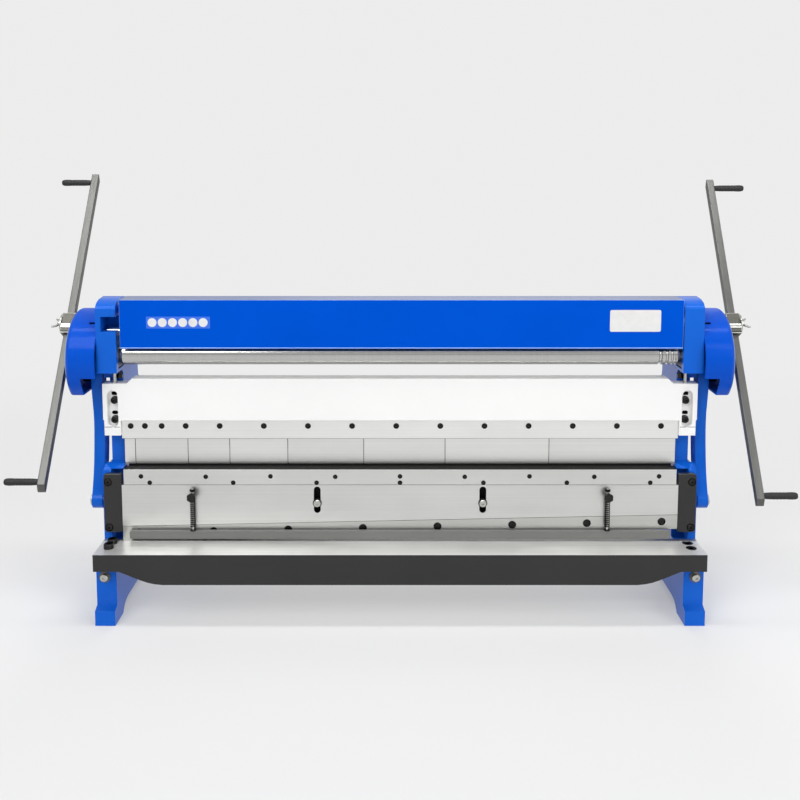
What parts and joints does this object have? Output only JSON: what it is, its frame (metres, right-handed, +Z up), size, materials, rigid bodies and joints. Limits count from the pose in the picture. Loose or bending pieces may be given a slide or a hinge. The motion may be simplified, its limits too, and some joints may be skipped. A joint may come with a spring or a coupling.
{
  "type": "combined slip roll, finger brake and shear",
  "caption": "Hand-cranked sheet-metal machine with bending rolls on top, a finger press brake in the middle and a shear with a work table below, between two blue frames.",
  "frame": {"origin": "on the bench, midway between the two frames and straight below the crank shafts", "axes": "+X along the rolls to the machine's right as its user faces it, +Y to its back, +Z up"},
  "size_m": [1.777, 0.4668, 1.0397],
  "materials": {
    "blue_enamel": "gloss enamel",
    "white_enamel": "satin enamel",
    "grey_enamel": "satin enamel",
    "ground_steel": "ground",
    "plain_steel": "satin",
    "black_steel": "oiled black",
    "grip_plastic": "moulded"
  },
  "bodies": {
    "frame": {"frame_left": "blue_enamel", "frame_right": "blue_enamel", "work_table": "grey_enamel", "lower_blade": "ground_steel", "guide_plate_left": "grey_enamel", "guide_plate_right": "grey_enamel", "gear_cover_left": "blue_enamel", "gear_cover_right": "blue_enamel", "top_cover": "blue_enamel"},
    "beam": {"upper_beam": "white_enamel", "finger_clamp_bar": "ground_steel", "bending_finger_1": "ground_steel", "bending_finger_2": "ground_steel", "bending_finger_3": "ground_steel", "bending_finger_4": "ground_steel", "bending_finger_5": "ground_steel", "bending_finger_6": "ground_steel", "bending_finger_7": "ground_steel", "bending_finger_8": "ground_steel"},
    "ram": {"ram": "ground_steel", "v_die": "ground_steel", "upper_blade": "ground_steel", "connecting_arm_left": "blue_enamel", "connecting_arm_right": "blue_enamel", "connecting_arm_pin_left": "plain_steel", "connecting_arm_pin_right": "plain_steel", "spring_bolt_left": "black_steel", "spring_bolt_right": "black_steel", "hold_down_spring_left": "black_steel", "hold_down_spring_right": "black_steel"},
    "hold_down": {"hold_down_bar": "grey_enamel"},
    "eccentric": {"eccentric_shaft": "plain_steel", "bull_gear_left": "black_steel", "bull_gear_right": "black_steel"},
    "crank_left": {"crank_shaft_left": "plain_steel", "crank_hub_left": "plain_steel"},
    "crank_right": {"crank_shaft_right": "plain_steel", "crank_hub_right": "plain_steel", "roll_drive_gear": "black_steel"},
    "bar_left": {"crank_bar_left": "plain_steel"},
    "bar_right": {"crank_bar_right": "plain_steel"},
    "grip_left_top": {"crank_grip_left_top": "grip_plastic"},
    "grip_left_bottom": {"crank_grip_left_bottom": "grip_plastic"},
    "grip_right_top": {"crank_grip_right_top": "grip_plastic"},
    "grip_right_bottom": {"crank_grip_right_bottom": "grip_plastic"},
    "wing_left": {"wing_screw_left": "plain_steel"},
    "wing_right": {"wing_screw_right": "plain_steel"},
    "upper_roll": {"upper_roll": "ground_steel", "upper_roll_gear": "black_steel"},
    "lower_carriage": {"lower_bearing_block_left": "plain_steel", "lower_bearing_block_right": "plain_steel"},
    "lower_roll": {"lower_roll": "ground_steel", "lower_roll_gear": "black_steel"},
    "lower_screw_left": {"lower_adjusting_screw_left": "plain_steel"},
    "lower_screw_right": {"lower_adjusting_screw_right": "plain_steel"},
    "rear_carriage": {"rear_bearing_block_left": "plain_steel", "rear_bearing_block_right": "plain_steel"},
    "rear_roll": {"rear_roll": "ground_steel"},
    "rear_screw_left": {"rear_adjusting_screw_left": "plain_steel"},
    "rear_screw_right": {"rear_adjusting_screw_right": "plain_steel"}
  },
  "joints": [
    {"name": "crank_left", "type": "hinge", "parent": "frame", "child": "crank_left", "pos_m": [-0.7, 0, 0.684], "axis": [1, 0, 0], "range_deg": [-343, 114]},
    {"name": "crank_right", "type": "hinge", "parent": "frame", "child": "crank_right", "pos_m": [0.7, 0, 0.684], "axis": [1, 0, 0], "range_deg": [-343, 114]},
    {"name": "eccentric_turn", "type": "hinge", "parent": "frame", "child": "eccentric", "pos_m": [0, 0, 0.60525], "axis": [1, 0, 0], "range_deg": [-33, 98.5]},
    {"name": "ram_slide", "type": "slide", "parent": "frame", "child": "ram", "axis": [0, 0, 1], "range_m": [-0.03, 0.01]},
    {"name": "hold_down_slide", "type": "slide", "parent": "ram", "child": "hold_down", "axis": [0, 0, 1], "range_m": [-0.0088, 0.0262], "deforming": ["hold_down_spring_left", "hold_down_spring_right"]},
    {"name": "beam_height", "type": "slide", "parent": "frame", "child": "beam", "axis": [0, 0, 1], "range_m": [0, 0.005]},
    {"name": "upper_roll_turn", "type": "hinge", "parent": "frame", "child": "upper_roll", "pos_m": [0, -0.06235, 0.675], "axis": [1, 0, 0], "range_deg": [-168, 505]},
    {"name": "lower_roll_adjust", "type": "slide", "parent": "frame", "child": "lower_carriage", "axis": [0, 0, 1], "range_m": [-0.0025, 0.0015]},
    {"name": "lower_roll_turn", "type": "hinge", "parent": "lower_carriage", "child": "lower_roll", "pos_m": [0, -0.06235, 0.622], "axis": [1, 0, 0], "range_deg": [-505, 168]},
    {"name": "lower_screw_left", "type": "hinge", "parent": "lower_carriage", "child": "lower_screw_left", "pos_m": [-0.668, -0.05535, 0.57], "axis": [0, 0, 1], "range_deg": [-605, 365]},
    {"name": "lower_screw_right", "type": "hinge", "parent": "lower_carriage", "child": "lower_screw_right", "pos_m": [0.668, -0.05535, 0.57], "axis": [0, 0, 1], "range_deg": [-605, 365]},
    {"name": "rear_roll_adjust", "type": "slide", "parent": "frame", "child": "rear_carriage", "axis": [0, -0.5, 0.866], "range_m": [-0.004, 0.014]},
    {"name": "rear_roll_turn", "type": "hinge", "parent": "rear_carriage", "child": "rear_roll", "pos_m": [0, 0.035, 0.64], "axis": [1, 0, 0], "continuous": true},
    {"name": "rear_screw_left", "type": "hinge", "parent": "rear_carriage", "child": "rear_screw_left", "pos_m": [-0.673, 0.035, 0.64], "axis": [0, -0.5, 0.866], "range_deg": [-965, 3365]},
    {"name": "rear_screw_right", "type": "hinge", "parent": "rear_carriage", "child": "rear_screw_right", "pos_m": [0.673, 0.035, 0.64], "axis": [0, -0.5, 0.866], "range_deg": [-965, 3365]},
    {"name": "bar_left_slide", "type": "slide", "parent": "crank_left", "child": "bar_left", "axis": [0, 0.5592, 0.829], "range_m": [-0.34, 0.33]},
    {"name": "bar_right_slide", "type": "slide", "parent": "crank_right", "child": "bar_right", "axis": [0, 0.5225, 0.8526], "range_m": [-0.315, 0.355]},
    {"name": "grip_left_top_turn", "type": "hinge", "parent": "bar_left", "child": "grip_left_top", "pos_m": [-0.849, 0.2248, 1.01727], "axis": [1, 0, 0], "continuous": true},
    {"name": "grip_left_bottom_turn", "type": "hinge", "parent": "bar_left", "child": "grip_left_bottom", "pos_m": [-0.849, -0.21697, 0.36233], "axis": [1, 0, 0], "continuous": true},
    {"name": "grip_right_top_turn", "type": "hinge", "parent": "bar_right", "child": "grip_right_top", "pos_m": [0.854, 0.19594, 1.00374], "axis": [1, 0, 0], "continuous": true},
    {"name": "grip_right_bottom_turn", "type": "hinge", "parent": "bar_right", "child": "grip_right_bottom", "pos_m": [0.854, -0.21684, 0.33015], "axis": [1, 0, 0], "continuous": true},
    {"name": "wing_left_turn", "type": "hinge", "parent": "crank_left", "child": "wing_left", "pos_m": [-0.82, 0, 0.684], "axis": [1, 0, 0], "continuous": true},
    {"name": "wing_right_turn", "type": "hinge", "parent": "crank_right", "child": "wing_right", "pos_m": [0.82, 0, 0.684], "axis": [1, 0, 0], "continuous": true}
  ],
  "couplings": [
    {"joint": "crank_right", "follows": "crank_left", "ratio": 1},
    {"joint": "eccentric_turn", "follows": "crank_left", "ratio": -0.28571},
    {"joint": "ram_slide", "follows": "crank_left", "m_per_rad": 0.0050077},
    {"joint": "hold_down_slide", "follows": "crank_left", "m_per_rad": -0.00434},
    {"joint": "upper_roll_turn", "follows": "crank_left", "ratio": -1.4706},
    {"joint": "lower_roll_turn", "follows": "crank_left", "ratio": 1.4706},
    {"joint": "lower_screw_left", "follows": "lower_roll_adjust", "rad_per_m": 4188.8},
    {"joint": "lower_screw_right", "follows": "lower_roll_adjust", "rad_per_m": 4188.8},
    {"joint": "rear_screw_left", "follows": "rear_roll_adjust", "rad_per_m": 4188.8},
    {"joint": "rear_screw_right", "follows": "rear_roll_adjust", "rad_per_m": 4188.8}
  ]
}
